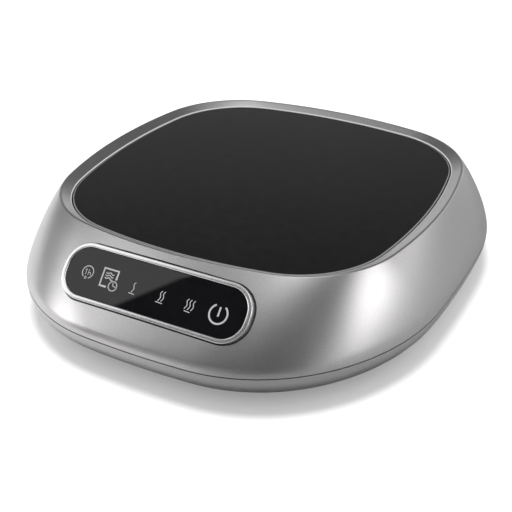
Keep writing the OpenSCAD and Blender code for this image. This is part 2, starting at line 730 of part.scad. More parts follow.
// The frame fills the space behind the wall, so its front follows the wall's inner side
frame_rim = 1.2;
frame_fit = 0.05;
frame_deep = 4.4;
frame_post_r = 1.9;
frame_post_x = panel_l / 2 - panel_r + (panel_r - frame_post_r) * sin(45);
frame_post_y = panel_h / 2 - panel_r + (panel_r - frame_post_r) * sin(45);
module panel_frame() {
    inside = concat([for (i = [wall_steps - 1:-1:0]) inner_wall[i] - [frame_fit, 0, 2 * frame_fit]],
        [[well_t + 3 * frame_fit, well_share, glass_z - 2 - 2 * frame_fit]]);
    color([0.14, 0.14, 0.15]) difference() {
        union() {
            intersection() {
                on_panel() panel_block(bezel_gap + frame_rim, 1, -frame_deep);
                skin(inside, other_way = true);
            }
            on_panel() at_corners(frame_post_x, frame_post_y) translate([0, 0, -board_back])
                cylinder(h = board_back - bezel_deep - 0.2, r = frame_post_r);
        }
        on_panel() {
            panel_block(0.1, 4, -bezel_deep);
            panel_block(-bezel_w - 2.4, 4, -frame_deep - 1);
            at_corners(frame_post_x, frame_post_y) translate([0, 0, -board_back - 1])
                cylinder(h = board_back - bezel_deep, r = tiny_screw_r + screw_clear);
        }
    }
}
tiny_screw_r = 0.9;

touch_board_l = 2 * (frame_post_x + frame_post_r);
touch_board_h = 2 * (frame_post_y + frame_post_r);
module touch_board() {
    color([0.1, 0.32, 0.2]) on_panel() difference() {
        union() {
            translate([-touch_board_l / 2, -touch_board_h / 2, -board_back - board_t])
                cube([touch_board_l, touch_board_h, board_t]);
            translate([-plug_w / 2 - 1, -2.5, -board_back - board_t - socket_h])
                cube([plug_w + 2, 5, socket_h + 0.2]);
        }
        at_corners(frame_post_x, frame_post_y) translate([0, 0, -board_back - board_t - 1])
            cylinder(h = board_t + 2, r = tiny_screw_r + 0.15);
    }
}
plug_w = 12;
socket_h = 3;

module panel_screws() {
    color([0.75, 0.75, 0.77]) on_panel() at_corners(frame_post_x, frame_post_y)
        translate([0, 0, -board_back - board_t]) screw(board_t + 2.3, 1.8, 1, tiny_screw_r);
}

// Each spring carries the finger's touch from the lens to the board
spring_r = 3;
spring_wire_r = 0.3;
spring_turns = 3;
module touch_springs() {
    steps = 10;
    n = spring_turns * steps;
    low = -board_back + spring_wire_r;
    high = -lens_t - spring_wire_r;
    color([0.82, 0.8, 0.7]) on_panel() for (x = touch_x)
        translate([x, touch_y, 0]) tube([for (i = [0:n])
            [spring_r * cos(360 * i / steps), spring_r * sin(360 * i / steps), low + (high - low) * i / n]],
            spring_wire_r, 5);
}

lamp_h = 0.9;
module indicator_lamps() {
    color([0.92, 0.9, 0.75]) on_panel() for (x = touch_x)
        translate([x - 1, touch_y - 0.6, -board_back]) cube([2, 1.2, lamp_h]);
}

/* ---- power board ---- */

power_screw_x = [-power_half_w + 4, power_half_w - 4];
power_screw_y = [power_front + 4, power_back - 4];
module power_board() {
    color([0.12, 0.3, 0.18]) difference() {
        translate([-power_half_w, power_front, power_z])
            cube([2 * power_half_w, power_back - power_front, board_t]);
        for (x = power_screw_x, y = power_screw_y) translate([x, y, power_z - 1])
            cylinder(h = board_t + 2, r = small_screw_r + 0.2);
    }
}

module board_screws() {
    color([0.75, 0.75, 0.77]) for (x = power_screw_x, y = power_screw_y)
        translate([x, y, power_top]) mirror([0, 0, 1]) screw(board_t + 3.6, 2.3, 1.4, small_screw_r);
}

module on_board(x, y) {
    translate([x, y, power_top]) children();
}

// The room above the board, under the heater pan, and the places of the board's tall pieces
room_h = pan_under - power_top;
relay_x = power_half_w - 18;
relay_y = power_back - 21;
relay_w = 19;
transformer_x = -power_half_w + 21;
transformer_y = power_back - 23;
module transformer() {
    h = room_h - 3.3;
    color([0.2, 0.2, 0.21]) on_board(transformer_x, transformer_y) {
        translate([-12, -10, 0]) cube([24, 20, 2]);
        translate([-12, -4, 1]) cube([24, 8, h - 1]);
        translate([-8.5, -7.5, 2]) cube([17, 15, h - 5]);
    }
}

module power_relay() {
    color([0.12, 0.2, 0.42]) on_board(relay_x, relay_y)
        translate([-relay_w / 2, -7.5, 0]) cube([relay_w, 15, room_h - 2.8]);
}

module capacitors() {
    color([0.18, 0.18, 0.3]) {
        for (x = [12, 25]) on_board(-power_half_w + x, power_front + 22) cylinder(h = room_h - 5.5, r = 5);
        on_board(power_half_w - 28, power_back - 6) translate([-9, -4, 0]) cube([18, 8, room_h - 4.5]);
    }
}

module glass_fuse() {
    color([0.8, 0.82, 0.84]) on_board(-power_half_w + 24, power_back - 5.5) {
        translate([-10, 0, 3.6]) rotate([0, 90, 0]) cylinder(h = 20, r = 2.6);
        for (x = [-9, 5]) translate([x, -2, 0]) cube([4, 4, 2]);
    }
}

module control_chip() {
    color([0.1, 0.1, 0.11]) on_board(0, power_front + 22) translate([-6, -4, 0]) cube([12, 8, 2.2]);
}

module buzzer() {
    color([0.1, 0.1, 0.1]) on_board(power_half_w - 16, power_front + 18) difference() {
        cylinder(h = 7, r = 6);
        translate([0, 0, 6]) cylinder(h = 2, r = 1.2);
    }
}

// The screw terminals for the mains leads, and the socket for the ribbon cable at the board's front
block_y = power_back - 7;
socket_y = power_front + 1;
socket_mid = 2.8;
module terminal_block() {
    color([0.2, 0.45, 0.28]) {
        on_board(0, block_y) translate([-6, -4, 0]) cube([12, 8, 9]);
        on_board(0, socket_y) translate([-plug_w / 2 - 1, 0, 0]) cube([plug_w + 2, 5, 2 * socket_mid]);
    }
}

ribbon_t = 0.7;
module ribbon_cable() {
    back = board_back + board_t + socket_h;
    low = power_top + socket_mid;
    route = eased([on_panel_point(-back), on_panel_point(-back - 2), [socket_y - 37, low + 3],
        [socket_y - 23, low + 0.6], [socket_y - 9, low], [socket_y - 3, low], [socket_y, low]], 3);
    left = [for (i = [0:len(route) - 1]) route[i] + ribbon_t / 2 * side_of(route, i)];
    right = [for (i = [len(route) - 1:-1:0]) route[i] - ribbon_t / 2 * side_of(route, i)];
    color([0.7, 0.7, 0.72]) translate([-plug_w / 2, 0, 0]) rotate([90, 0, 90])
        linear_extrude(plug_w) polygon(concat(left, right));
}
// A point (y, z) on the panel's axis at a depth behind the lens face
function on_panel_point(d) = [-panel_y - d * sin(panel_tilt), panel_z + d * cos(panel_tilt)];
function side_of(p, i) = let (d = direction(p, i)) [-d[1], d[0]];

/* ---- inlet and leads ---- */

inlet_w = alcove_w + 2.4;
inlet_h = alcove_h + 2.4;
inlet_fit = 0.2;
inlet_back = inlet_y - socket_deep - 2;
inlet_ear_x = 18;
inlet_ear_y = 63.5;
inlet_ear_z = 28;
module inlet_housing() {
    color([0.1, 0.1, 0.11]) difference() {
        union() {
            translate([-inlet_w / 2, inlet_back, inlet_z - inlet_h / 2]) cube([inlet_w, 30, inlet_h]);
            for (x = [-1, 1]) translate([x * inlet_ear_x, inlet_ear_y, inlet_ear_z - 2])
                cylinder(h = 2, r = 3.2);
            translate([-inlet_ear_x, inlet_ear_y - 3.2, inlet_ear_z - 2]) cube([2 * inlet_ear_x, 6.4, 2]);
            translate([-inlet_w / 2, inlet_ear_y - 3.2, inlet_ear_z - 2])
                cube([inlet_w, inlet_back - inlet_ear_y + 4, 2]);
        }
        translate([-alcove_w / 2, inlet_y, inlet_z - alcove_h / 2]) cube([alcove_w, 40, alcove_h]);
        for (x = [-1, 1]) translate([x * lobe_gap / 2, inlet_y + 1, inlet_z]) rotate([90, 0, 0])
            cylinder(h = socket_deep + 1, r = lobe_r);
        for (x = [-1, 1]) translate([x * inlet_pitch / 2, inlet_y, inlet_z]) rotate([90, 0, 0])
            cylinder(h = 20, r = inlet_pin_r);
        for (x = [-1, 1]) translate([x * inlet_ear_x, inlet_ear_y, inlet_ear_z - 3])
            cylinder(h = 4, r = screw_r + 0.2);
        // The block's outer face lies just under the sloping wall
        translate([0, front_y(rim_w, 0) - 0.6, total_h]) rotate([-wall_angle, 0, 0])
            translate([-40, -20, 0]) cube([80, 80, 40]);
    }
}

module inlet_pins() {
    color([0.82, 0.82, 0.84]) for (x = [-1, 1])
        translate([x * inlet_pitch / 2, inlet_y - 1.5, inlet_z]) rotate([90, 0, 0])
            cylinder(h = inlet_y - 1.5 - pin_tail_y, r = inlet_pin_r);
}
pin_tail_y = 65.5;

module inlet_screws() {
    color([0.75, 0.75, 0.77]) for (x = [-1, 1])
        translate([x * inlet_ear_x, inlet_ear_y, inlet_ear_z - 2])
            screw(ledge_z - 1 - inlet_ear_z + 2, 2.8, 1.8);
}

wire_r = 1;
block_z = power_top + 4.6;
mains_route = [[inlet_pitch / 2, pin_tail_y, inlet_z], [inlet_pitch / 2, pin_tail_y - 3, inlet_z],
    [4, block_y + 18, block_z + 6], [3, block_y + 10, block_z + 0.6], [3, block_y + 7, block_z],
    [3, block_y + 4, block_z]];
module mains_leads() {
    for (x = [-1, 1]) color([0.55, 0.3, 0.2])
        tube(eased([for (p = mains_route) [x * p[0], p[1], p[2]]], 2), wire_r);
}

stud_z = heater_under - terminal_l;
tab_mid = tab_x + terminal_t / 2;
tab_z = terminal_z - tab_l;
fuse_end = fuse_l / 2 + lead_l;
relay_side = relay_x - relay_w / 2;
heater_route = [[-terminal_x, terminal_y, stud_z], [-terminal_x, terminal_y, stud_z - 2.5],
    [-10, terminal_y + 1, power_top + 8], [-20, terminal_y + 6, power_top + 5],
    [-28, power_front + 6, power_top + 4], [-30, power_front + 10, power_top + 2.4],
    [-30, power_front + 10, power_top]];
link_route = [[terminal_x, terminal_y, stud_z], [terminal_x, terminal_y, stud_z - 2],
    [11, terminal_y + 2, stud_z - 4.2], [16, terminal_y + 9, fuse_z - 3.3],
    [14.5, fuse_y - 1, fuse_z - 0.6], [fuse_end + 2, fuse_y, fuse_z], [fuse_end, fuse_y, fuse_z]];
cutout_route = [[-fuse_end, fuse_y, fuse_z], [-fuse_end - 2, fuse_y, fuse_z], [-15, fuse_y + 5, fuse_z - 2.8],
    [-14, fuse_y + 15, tab_z + 0.4], [-10.5, -2, tab_z - 2.6], [-tab_mid, 0, tab_z - 2],
    [-tab_mid, 0, tab_z]];
relay_route = [[tab_mid, 0, tab_z], [tab_mid, 0, tab_z - 1.5], [11, 5, power_top + 2.8],
    [14, relay_y - 10, power_top + 2.4], [relay_side - 2.5, relay_y - 2, power_top + 2.4],
    [relay_side, relay_y - 2, power_top + 2.4]];
module heater_leads() {
    color([0.9, 0.88, 0.82]) for (route = [heater_route, link_route, cutout_route, relay_route])
        tube(eased(route, 2), wire_r);
}

sensor_end = power_front + 9;
sensor_route = [[sensor_x, sensor_y, heater_top - sensor_l],
    [sensor_x, sensor_y, heater_top - sensor_l - 2.3],
    [sensor_x - 2, sensor_y - 6, power_top + 5.4], [sensor_x - 8, sensor_end + 6, power_top + 3.9],
    [sensor_x - 10, sensor_end, power_top + 2.4], [sensor_x - 10, sensor_end, power_top]];
module sensor_leads() {
    color([0.75, 0.2, 0.15]) for (x = [-0.65, 0.65])
        tube(eased([for (p = sensor_route) p + [x, 0, 0]], 2), 0.5, 6);
}

upper_housing();
lower_housing();
glass_plate();
glass_seal();
heat_spreader();
heater_element();
insulation_pad();
heater_pan();
heater_pan_screws();
temperature_sensor();
sensor_clip();
thermal_fuse();
fuse_clip();
cutout_cap();
cutout_disc();
cutout_body();
cutout_cover();
cutout_pin();
cutout_blade();
cutout_terminals();
cutout_bracket();
cutout_screws();
control_bezel();
control_lens();
control_symbols();
panel_frame();
panel_screws();
touch_board();
touch_springs();
indicator_lamps();
ribbon_cable();
power_board();
board_screws();
transformer();
power_relay();
capacitors();
glass_fuse();
control_chip();
buzzer();
terminal_block();
inlet_housing();
inlet_pins();
inlet_screws();
mains_leads();
heater_leads();
sensor_leads();
rubber_feet();
base_screws();
rating_plate();
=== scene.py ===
# %% [markdown]
# This lesson dresses an electric mug warmer: a black glass hot plate in a satin silver housing, with
# a flat touch panel on the sloping front wall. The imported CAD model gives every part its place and
# size, so the script starts by loading it. Lengths are written in millimetres and scaled once, when a
# piece is finished, because small whole numbers are easier to read than fractions of a metre. Lights,
# floor and dome are the exception: they are metres away, and written in metres.

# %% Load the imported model
import json
import math
import bmesh
import bpy
from mathutils import Matrix, Vector


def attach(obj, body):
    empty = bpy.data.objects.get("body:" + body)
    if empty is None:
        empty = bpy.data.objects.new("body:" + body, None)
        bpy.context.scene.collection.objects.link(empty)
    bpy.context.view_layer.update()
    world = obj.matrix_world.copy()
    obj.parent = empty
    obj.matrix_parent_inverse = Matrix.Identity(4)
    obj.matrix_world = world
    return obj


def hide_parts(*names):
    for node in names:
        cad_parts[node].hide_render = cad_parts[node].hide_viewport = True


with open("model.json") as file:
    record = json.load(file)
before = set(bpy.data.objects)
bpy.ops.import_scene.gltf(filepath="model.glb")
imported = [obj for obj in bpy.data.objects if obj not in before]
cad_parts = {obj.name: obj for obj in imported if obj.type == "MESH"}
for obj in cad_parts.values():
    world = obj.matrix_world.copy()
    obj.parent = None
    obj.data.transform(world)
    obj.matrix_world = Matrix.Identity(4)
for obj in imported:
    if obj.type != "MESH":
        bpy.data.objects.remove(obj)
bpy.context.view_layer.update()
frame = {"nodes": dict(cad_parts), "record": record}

MM = 0.001

# %% [markdown]
# The photograph looks down on the warmer from its front right, at 30 degrees. A camera can be aimed
# with a constraint or with angles. Two angles are enough here, and they keep the horizon level: the
# first tips the camera down, the second turns it round the upright axis. The lens is a fairly long
# one, so the plate's far side is only a little smaller than its near side.

# %% Camera
def add_object(name, data):
    """Adds an object that shows the data to the scene."""
    made = bpy.data.objects.new(name, data)
    bpy.context.scene.collection.objects.link(made)
    return made

CAMERA_TURN = math.radians(28.107)
CAMERA_TILT = math.radians(30.13)
CAMERA_PLACE = Vector((157.536, -303.747, 201.257)) * MM
camera_data = bpy.data.cameras.new("camera")
camera_data.lens = 68.543
camera_data.sensor_width = 36
camera_data.sensor_fit = "HORIZONTAL"
camera_data.clip_start = 0.01
camera_data.clip_end = 50
camera = add_object("camera", camera_data)
camera.location = CAMERA_PLACE
camera.rotation_euler = (math.pi / 2 - CAMERA_TILT, 0, CAMERA_TURN)
bpy.context.scene.camera = camera
bpy.context.scene.view_settings.view_transform = "Standard"
print("camera at", [round(v, 3) for v in camera.location])

# %% [markdown]
# Small helpers come next, because every material below is a graph of nodes. A node can be made with
# one call that names its type, its settings and what feeds each of its inputs, which keeps each
# material down to the few lines that matter.

# %% Helpers for node graphs
WHITE = (1, 1, 1, 1)

def node(tree, kind, feeds=None, **settings):
    """Adds a node. Feeds maps an input's name or number to a value or another node's output."""
    made = tree.nodes.new(kind)
    for key, value in settings.items():
        setattr(made, key, value)
    for key, value in (feeds or {}).items():
        if isinstance(value, bpy.types.NodeSocket):
            tree.links.new(value, made.inputs[key])
        else:
            made.inputs[key].default_value = value
    return made

def math_node(tree, operation, a, b, c=0.0):
    """A sum, product or other rule of arithmetic, as one output."""
    return node(tree, "ShaderNodeMath", {0: a, 1: b, 2: c}, operation=operation).outputs[0]

def ramp(tree, value, low, high, out_low=0.0, out_high=1.0):
    """A smooth step: out_low up to low, out_high from high on."""
    feeds = {"Value": value, "From Min": low, "From Max": high, "To Min": out_low, "To Max": out_high}
    return node(tree, "ShaderNodeMapRange", feeds, interpolation_type="SMOOTHSTEP").outputs[0]

def blank_tree(owner):
    """The node tree of a material or world, emptied."""
    owner.use_nodes = True
    owner.node_tree.nodes.clear()
    return owner.node_tree

print("helpers ready: node, math_node, ramp, blank_tree")

# %% [markdown]
# A product photographer stands such a glossy object in a tent of white cloth. The cloth lights it
# softly from all round, and the background turns white. The world does that here: it is plain white
# to the camera, to mirrors and to glass, and matt surfaces receive a slightly lower even light, so
# that a colour renders about as it is written.

# %% World
AMBIENT = 0.78
world = bpy.data.worlds.new("studio")
bpy.context.scene.world = world
tree = blank_tree(world)
rays = node(tree, "ShaderNodeLightPath")
seen = math_node(tree, "MAXIMUM", rays.outputs["Is Camera Ray"], rays.outputs["Is Glossy Ray"])
seen = math_node(tree, "MAXIMUM", seen, rays.outputs["Is Transmission Ray"])
strength = math_node(tree, "MULTIPLY_ADD", seen, 1 - AMBIENT, AMBIENT)
background = node(tree, "ShaderNodeBackground", {"Color": WHITE, "Strength": strength})
node(tree, "ShaderNodeOutputWorld", {"Surface": background.outputs[0]})
print("world ready, ambient level", AMBIENT)

# %% [markdown]
# Satin metal shows its surroundings: the photograph's wall is bright where it faces a light and dark
# where it faces the dim part of the room. A dome around the set stands in for those surroundings and
# hides the white world from reflections. It is made for them alone, so it adds no light and throws no
# shadow. A place on it is named by two angles, as a star is: how far it lies to the right of the
# front, and how high.

# %% Directions
def sine(angle):
    """The sine of an angle in degrees, which is also the rise of a direction at that height."""
    return math.sin(math.radians(angle))

def direction(turn, height):
    """The unit vector towards a turn from the front, positive to the right, and a height."""
    t, h = math.radians(turn), math.radians(height)
    return Vector((math.sin(t) * math.cos(h), -math.cos(t) * math.cos(h), math.sin(h)))

def right_of(turn):
    """The normal of the upright plane at that turn, pointing to larger turns."""
    return direction(turn + 90, 0)

print("the front is at", direction(0, 0)[:], "and the right at", direction(90, 0)[:])

# %% [markdown]
# The dome glows in patches of directions. Each is cut out by planes through the middle, because the
# dot product of a direction and a plane's normal tells the side it lies on, and by heights, because
# the direction's Z is the sine of its height. Smooth steps make the borders soft.

# %% Patches of directions
dome_paint = bpy.data.materials.new("dome_glow")
tree = blank_tree(dome_paint)
place = node(tree, "ShaderNodeTexCoord").outputs["Object"]
way = node(tree, "ShaderNodeVectorMath", {0: place}, operation="NORMALIZE").outputs[0]
rise = node(tree, "ShaderNodeSeparateXYZ", {0: way}).outputs["Z"]

def along(vector):
    """How far the direction looked at points along a unit vector: 1 where it is the same."""
    return node(tree, "ShaderNodeVectorMath", {0: way, 1: vector},
                operation="DOT_PRODUCT").outputs["Value"]

def side_of(normal, soft):
    """1 on the side that the normal points to, 0 on the other."""
    return ramp(tree, along(normal), -soft, soft)

def band(low, low_soft, high, high_soft):
    """1 between two heights in degrees, with soft edges."""
    up = ramp(tree, rise, sine(low - low_soft), sine(low + low_soft))
    down = ramp(tree, rise, sine(high - high_soft), sine(high + high_soft), 1.0, 0.0)
    return math_node(tree, "MULTIPLY", up, down)

def low_band(high, high_soft):
    """1 from below the floor up to a height in degrees."""
    return band(-20, 5, high, high_soft)

def overlap(patch, *others):
    """1 only where all the patches are."""
    for other in others:
        patch = math_node(tree, "MULTIPLY", patch, other)
    return patch

print("helpers ready: side_of, band, low_band, overlap")

# %% [markdown]
# Three soft boxes glow, one at the left, one at the right and one overhead, as in many studios. The
# left one is brighter in its lower part and the top one around a spot. Low in the room, faint light
# comes from the back, the far left and the front, where the photograph's darkest metal still isn't
# black. The left box needs a hard edge, because the panel's lens reflects it as a slanting line.

# %% What glows on the dome
LEFT_END, RIGHT_START, RIGHT_END, BACK_END, FAR_LEFT, FRONT_END = -70, 80, 114, 178, -120, 15
TOP_START, TOP_FULL = 56, 68
TOP_SPOT = direction(33, 62)
DIM_ROOM = 0.02

edge_high, edge_low = Vector((-0.446, -0.548, 0.710)), Vector((-0.498, -0.567, 0.655))
hard_edge = edge_low.cross(edge_high).normalized()
if hard_edge.dot(direction(LEFT_END, 30)) < 0:
    hard_edge.negate()
left_side = overlap(side_of(hard_edge, 0.003), side_of(right_of(LEFT_END), 0.14))
far_side = side_of(-right_of(FAR_LEFT), 0.2)
top_box = ramp(tree, rise, sine(TOP_START), sine(TOP_FULL))
glows = (
    # The left box and its brighter lower part.
    (1.1, overlap(left_side, band(6, 8, 54, 6))),
    (2.0, overlap(left_side, band(6, 8, 33, 6))),
    # The right box, and the faint light behind it at the back.
    (2.6, overlap(side_of(right_of(RIGHT_START), 0.075), band(9, 6, 36, 9),
                  side_of(-right_of(RIGHT_END), 0.12))),
    (0.4, overlap(side_of(right_of(RIGHT_END), 0.12), side_of(-right_of(BACK_END), 0.12),
                  low_band(24, 12))),
    # The faint light at the far left, stronger near the floor, and at the front.
    (0.09, overlap(far_side, low_band(30, 5))),
    (0.6, overlap(far_side, low_band(14, 8))),
    (0.2, overlap(side_of(-right_of(FRONT_END), 0.15), low_band(22, 10))),
    # The box overhead and its spot.
    (0.3, top_box),
    (1.7, overlap(top_box, ramp(tree, along(TOP_SPOT), 0.8, 1.0))),
)
glow = DIM_ROOM
for level, patch in glows:
    glow = math_node(tree, "MULTIPLY_ADD", patch, level, glow)
light = node(tree, "ShaderNodeEmission", {"Color": WHITE, "Strength": glow})
node(tree, "ShaderNodeOutputMaterial", {"Surface": light.outputs[0]})
print("dome paint with", len(glows), "glowing patches and", len(tree.nodes), "nodes")

# %% [markdown]
# The dome itself is a sphere of triangles, as round as it needs to be: its paint works with
# directions, so its flat faces don't show. Its switches for kinds of rays leave it visible to
# reflections alone.

# %% Dome
def object_from(bm, name):
    """Turns a bmesh into an object of the scene."""
    mesh = bpy.data.meshes.new(name)
    bm.to_mesh(mesh)
    bm.free()
    return add_object(name, mesh)

DOME_RADIUS = 4
bm = bmesh.new()
bmesh.ops.create_icosphere(bm, subdivisions=4, radius=DOME_RADIUS)
dome = object_from(bm, "dome")
dome.data.materials.append(dome_paint)
for ray in ("camera", "diffuse", "shadow", "transmission", "volume_scatter"):
    setattr(dome, "visible_" + ray, False)
print("dome of", len(dome.data.polygons), "faces")

# %% [markdown]
# One lamp hangs right above the set. The shadow in the photograph ends close to the foot of the wall
# and its edge is only a little soft, which gives the lamp's place and its size. Mirrors don't see it,
# because the dome already carries its reflection.

# %% Overhead lamp
lamp_data = bpy.data.lights.new("overhead", "AREA")
lamp_data.shape = "DISK"
lamp_data.size = 0.5
lamp_data.energy = 14
lamp = add_object("overhead", lamp_data)
lamp.location = (-0.08, -0.05, 1.5)
lamp.rotation_euler = (-lamp.location).to_track_quat("-Z", "Y").to_euler()
lamp.visible_glossy = False
lamp.visible_camera = False
print("lamp", lamp_data.energy, "W")

# %% [markdown]
# The floor is a plain pale sheet. It is a little lighter to the camera than the lamp makes it, so
# that it meets the white background with no line, and it still takes the shadow. To the right a
# painted shade darkens it in reflections alone, so that the wall, which mirrors it, is dim on that
# side.

# %% Floor
FLOOR_SIZE = 3
# The floor's grey, and the depth of a painted shade that only reflections see on its right.
PAPER, REFLECTED_SHADE = 0.82, 0.55
REFLECTED_SHADE_START, REFLECTED_SHADE_FULL = -0.1, 0.05
CAMERA_LIFT = 0.2
floor_paint = bpy.data.materials.new("floor_paper")
tree = blank_tree(floor_paint)
rays = node(tree, "ShaderNodeLightPath")
place = node(tree, "ShaderNodeTexCoord").outputs["Object"]
rightward = node(tree, "ShaderNodeSeparateXYZ", {0: place}).outputs["X"]
# Painted shade, for reflections alone: the floor turns darker towards the right.
reflected_shade_mask = math_node(tree, "MULTIPLY", rays.outputs["Is Glossy Ray"],
                   ramp(tree, rightward, REFLECTED_SHADE_START, REFLECTED_SHADE_FULL))
pale = math_node(tree, "MULTIPLY_ADD", reflected_shade_mask, -REFLECTED_SHADE, PAPER)
lifted = math_node(tree, "MULTIPLY", rays.outputs["Is Camera Ray"], CAMERA_LIFT)
paper = node(tree, "ShaderNodeBsdfDiffuse", {"Color": pale})
lift = node(tree, "ShaderNodeEmission", {"Color": WHITE, "Strength": lifted})
both = node(tree, "ShaderNodeAddShader", {0: paper.outputs[0], 1: lift.outputs[0]})
node(tree, "ShaderNodeOutputMaterial", {"Surface": both.outputs[0]})

bm = bmesh.new()
bmesh.ops.create_grid(bm, x_segments=1, y_segments=1, size=FLOOR_SIZE)
floor = object_from(bm, "floor")
floor.data.materials.append(floor_paint)
print("floor", floor.dimensions[:])

# %% [markdown]
# The housing's outline is a square with bowed sides and round corners, and every level of the wall
# uses it at its own size. It is worked out for one quarter, from three arcs that meet smoothly: half
# a side, a corner and half a side. The quarter is then turned round to make four. Down the wall the
# sides get flatter, the corners rounder and the whole outline deeper from front to back.

# %% The housing's outline
HALF = 65.5
RIM_SIDE, FOOT_SIDE = 167, 338
RIM_CORNER, FOOT_CORNER = 34, 48.5
BASE_DEPTH = 1.175
SIDE_STEPS, CORNER_STEPS = 14, 32

def arc_points(x, y, r, start, sweep, steps):
    """Points along an arc of that radius, angles in radians, without its last point."""
    turns = [start + sweep * i / steps for i in range(steps)]
    return [(x + r * math.cos(g), y + r * math.sin(g)) for g in turns]

def outline(out, s):
    """Points in millimetres. Out stands out from the rim, s is 0 at the rim and 1 at the foot."""
    side = RIM_SIDE + (FOOT_SIDE - RIM_SIDE) * s + out
    corner = RIM_CORNER + (FOOT_CORNER - RIM_CORNER) * s + out
    behind = side - (HALF + out)      # the side arc's middle lies that far behind the centre
    reach = side - corner             # from there to the corner arc's middle, at (c, c)
    c = (-behind + math.sqrt(2 * reach * reach - behind * behind)) / 2
    t = math.atan2(c, c + behind)
    quarter = arc_points(-behind, 0, side, 0, t, SIDE_STEPS)
    quarter += arc_points(c, c, corner, t, math.pi / 2 - 2 * t, CORNER_STEPS)
    quarter += arc_points(0, -behind, side, math.pi / 2 - t, t, SIDE_STEPS)
    points = list(quarter)
    for _ in range(3):
        points += [(-y, x) for x, y in points[-len(quarter):]]
    depth = 1 + (BASE_DEPTH - 1) * s
    return [(x, y * depth) for x, y in points]

ridge_points = outline(5, 0)
print("outline at the ridge:", len(ridge_points), "points, widest", round(ridge_points[0][0], 2), "mm")

# %% [markdown]
# Rings joined one above the other make a wall. A circle from bmesh already has its points in order,
# so the first level is a circle whose points are moved out onto the outline. Each further level is
# extruded from the one before, and its points are moved in the same way.

# %% Helpers that stack rings
def move_onto(ring, points, z):
    """Moves a ring's points onto the given ones, at a height."""
    for v, (x, y) in zip(ring, points):
        v.co = (x, y, z)
    return ring

def edges_of(ring):
    """The edges that join a ring's points in turn."""
    pairs = zip(ring, ring[1:] + ring[:1])
    return [next(e for e in a.link_edges if e.other_vert(a) is b) for a, b in pairs]

def extruded(bm, ring):
    """Extrudes a ring's edges and returns the new ring, in the same order."""
    made = bmesh.ops.extrude_edge_only(bm, edges=edges_of(ring))["geom"]
    fresh = {v for v in made if isinstance(v, bmesh.types.BMVert)}
    return [next(e.other_vert(v) for e in v.link_edges if e.other_vert(v) in fresh) for v in ring]

def stack(bm, levels, shape=outline):
    """Rings through all levels (out, s, z), in order. Also adds the faces' attribute that marks a
    painted highlight, which has to exist before a bevel makes the faces that are marked with it."""
    bm.faces.layers.float.new("bare")
    out, s, z = levels[0]
    points = shape(out, s)
    ring = bmesh.ops.create_circle(bm, segments=len(points), radius=1)["verts"]
    rings = [move_onto(ring, points, z)]
    for out, s, z in levels[1:]:
        rings.append(move_onto(extruded(bm, rings[-1]), shape(out, s), z))
    return rings

def close(bm, rings, loop):
    """Joins the last ring to the first, or caps both ends, and points all faces outwards."""
    if loop:
        bmesh.ops.bridge_loops(bm, edges=edges_of(rings[0]) + edges_of(rings[-1]))
    else:
        bmesh.ops.contextual_create(bm, geom=edges_of(rings[0]))
        bmesh.ops.contextual_create(bm, geom=edges_of(rings[-1]))
    bmesh.ops.recalc_face_normals(bm, faces=bm.faces)

print("helpers ready: stack, close")

# %% [markdown]
# No moulded or ground edge is sharp, so edges get a bevel before a piece becomes an object. Some of
# these rounds get a painted highlight, a thin pale line such as the one on the glass's edge, so a
# bevel's new faces can be marked for it. Smooth shading then hides the facets, and weighted normals
# keep the large faces flat next to their thin rounds.

# %% Helpers that round and finish a piece
def soften(bm, edges, width, segments):
    """Bevels edges into a round of that width and returns its faces."""
    return bmesh.ops.bevel(bm, geom=edges, offset=width, offset_type="OFFSET", segments=segments,
                           profile=0.5, affect="EDGES", material=-1, clamp_overlap=True)["faces"]

def mark(bm, faces):
    """Writes 1 on the faces in the attribute that marks a painted highlight."""
    layer = bm.faces.layers.float["bare"]
    for face in faces:
        face[layer] = 1.0

def piece_from(bm, name, place=Matrix.Identity(4)):
    """Finishes a bmesh in millimetres as an object in metres, with its place in its mesh."""
    bmesh.ops.transform(bm, matrix=Matrix.Scale(MM, 4) @ place, verts=bm.verts)
    return object_from(bm, name)

def smooth(piece, angle):
    """Shades smoothly except over edges sharper than the angle in degrees."""
    piece.data.shade_smooth()
    piece.data.set_sharp_from_angle(angle=math.radians(angle))

def smooth_shell(piece):
    """Shades smoothly, and lets large flat faces set the shading next to thin rounds."""
    smooth(piece, 35)
    piece.modifiers.new("even_normals", "WEIGHTED_NORMAL").keep_sharp = True
    print(piece.name, "has", len(piece.data.polygons), "faces")

print("helpers ready: soften, mark, piece_from, smooth_shell")

# %% [markdown]
# The upper housing is one moulding, painted satin silver. It could be sculpted or made with a
# subdivision surface, but its levels are known from the CAD part, so stacked rings follow them
# exactly: up the sloping wall, over the ridge, down the band to the glass, and back inside the wall.
# The well of the glass takes a little of the foot's shape, which makes it slightly deeper than wide.
# The ridge, the lip and the crease at the foot of the wall are rounded, which is what catches a thin
# line of light on a real moulding. The lip's round also gets a painted highlight, a thin pale line.

# %% Upper housing
TOP, WALL_DROP = 40, 22.8
RIDGE_OUT, WALL_RUN, WALL_BULGE = 5, 10, 1.1
WALL_STEPS, INNER_STEPS, INNER_START = 10, 6, 0.14
SKIN, INNER_OUT, INNER_TOP = 2.6, 2, 36
RIDGE_IN, FOOT_IN = 4.3, 13
SEAM_OUT, SEAM_TOP = 15.6, 14.75
WELL = 0.12
GLASS_TOP, LEDGE_TOP, LEDGE_LOW, LEDGE_IN = 38, 33.5, 31.5, -5.5

def wall(t, skin=0):
    """The wall's level at t, from 0 at the ridge to 1 at its foot: (out, s, z)."""
    s = 1 - (1 - t) ** WALL_BULGE
    return RIDGE_OUT + WALL_RUN * s - skin, s, TOP - WALL_DROP * t

